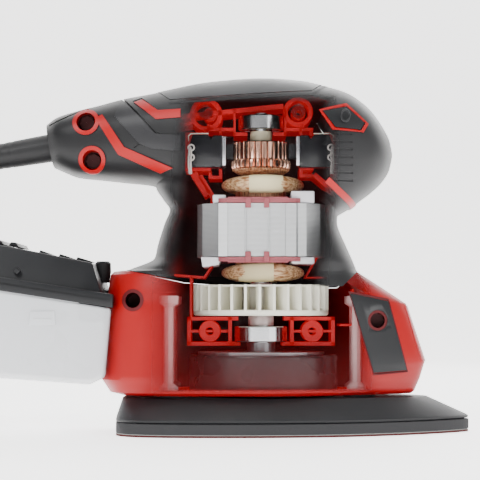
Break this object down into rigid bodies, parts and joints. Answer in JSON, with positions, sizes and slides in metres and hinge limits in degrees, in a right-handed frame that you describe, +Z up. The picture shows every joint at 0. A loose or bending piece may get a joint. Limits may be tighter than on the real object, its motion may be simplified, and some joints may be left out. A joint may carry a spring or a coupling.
{
  "type": "detail mouse sander",
  "caption": "Electric detail sander with a mouse-shaped orbiting pad, palm grip head, rear handle with mains lead, clamshell casing, motor with fan, and a slide-off dust box.",
  "frame": {"origin": "on the sanding face, on the motor's axis", "axes": "+Z up along the motor's axis, +X towards the pad's tip, -Y the right-hand side"},
  "size_m": [0.3061, 0.1585, 0.1475],
  "materials": {
    "red_plastic": "smooth moulded red shell",
    "nose_red": "darker red insert",
    "soft_black": "satin soft-touch overmould",
    "dark_plastic": "satin charcoal moulding",
    "laminated_steel": "stacked laminations",
    "enamel_wire": "enamelled copper strands",
    "dusty_red": "insulating board",
    "white_plastic": "moulded white",
    "polished_steel": "ground and polished",
    "cast_steel": "dark turned steel",
    "copper": "turned copper bars",
    "cream_plastic": "moulded cream nylon",
    "carbon": "sintered carbon",
    "black_rubber": "black rubber",
    "pale_rubber": "translucent pale rubber",
    "pad_foam": "dense dark foam",
    "sanding_red": "red-brown abrasive grit",
    "frosted_plastic": "frosted translucent body",
    "felt": "pressed grey felt"
  },
  "bodies": {
    "root": {"housing_right": "red_plastic", "housing_left": "red_plastic", "grip_right": "soft_black", "grip_left": "soft_black", "palm_pad": "soft_black", "front_panel_right": "dark_plastic", "front_panel_left": "dark_plastic", "nose_plate": "nose_red", "dust_spigot": "dark_plastic", "stator_stack": "laminated_steel", "field_coil_right": "enamel_wire", "field_coil_left": "enamel_wire", "lower_insulator": "dusty_red", "upper_insulator": "dusty_red", "terminal_block_front": "white_plastic", "terminal_block_rear": "white_plastic", "switch_body": "dark_plastic", "upper_bearing_outer": "polished_steel", "lower_bearing_outer": "polished_steel", "cord_boot": "black_rubber", "cord": "black_rubber", "cord_coil": "black_rubber", "cord_tie": "black_rubber", "plug": "black_rubber", "screw_handle_upper": "cast_steel", "screw_handle_lower": "cast_steel", "screw_head_rear": "cast_steel", "screw_head_front": "cast_steel", "screw_skirt_rear": "cast_steel", "screw_skirt_front": "cast_steel", "post_rear_right": "pale_rubber", "post_rear_left": "pale_rubber", "post_front_right": "pale_rubber", "post_front_left": "pale_rubber", "brush_holder_rear": "dark_plastic", "brush_spring_rear": "polished_steel", "brush_holder_front": "dark_plastic", "brush_spring_front": "polished_steel"},
    "rotor": {"motor_shaft": "polished_steel", "armature_core": "laminated_steel", "armature_winding": "enamel_wire", "commutator": "copper", "insulating_bush": "cream_plastic", "fan": "cream_plastic", "eccentric": "cast_steel", "upper_bearing_inner": "polished_steel", "lower_bearing_inner": "polished_steel", "pad_bearing_inner": "polished_steel"},
    "pad": {"pad_bearing_outer": "polished_steel", "pad_hub": "black_rubber", "pad_base": "dark_plastic", "foam_pad": "pad_foam", "sanding_sheet": "sanding_red"},
    "dust_box": {"dust_box": "frosted_plastic"},
    "dust_lid": {"dust_lid": "dark_plastic", "dust_filter": "felt"},
    "switch": {"switch_button": "dark_plastic"},
    "brush_rear": {"carbon_brush_rear": "carbon"},
    "brush_front": {"carbon_brush_front": "carbon"}
  },
  "joints": [
    {"name": "motor_spin", "type": "hinge", "parent": "root", "child": "rotor", "pos_m": [0, 0, 0], "axis": [0, 0, 1], "continuous": true},
    {"name": "pad_orbit", "type": "hinge", "parent": "rotor", "child": "pad", "pos_m": [0.001, 0, 0], "axis": [0, 0, 1], "continuous": true},
    {"name": "switch_slide", "type": "slide", "parent": "root", "child": "switch", "axis": [0, 1, 0], "range_m": [0, 0.0035]},
    {"name": "dust_box_pull", "type": "slide", "parent": "root", "child": "dust_box", "axis": [-1, 0, 0], "range_m": [0, 0.034]},
    {"name": "dust_lid_lift", "type": "slide", "parent": "dust_box", "child": "dust_lid", "axis": [0, 0, 1], "range_m": [0, 0.008]},
    {"name": "brush_rear_slide", "type": "slide", "parent": "root", "child": "brush_rear", "axis": [-1, 0, 0], "range_m": [0, 0.002], "stiffness_N_per_m": 300, "springref_m": -0.006, "deforming": ["brush_spring_rear"]},
    {"name": "brush_front_slide", "type": "slide", "parent": "root", "child": "brush_front", "axis": [1, 0, 0], "range_m": [0, 0.002], "stiffness_N_per_m": 300, "springref_m": -0.006, "deforming": ["brush_spring_front"]}
  ],
  "couplings": [
    {"joint": "pad_orbit", "follows": "motor_spin", "ratio": -1}
  ]
}
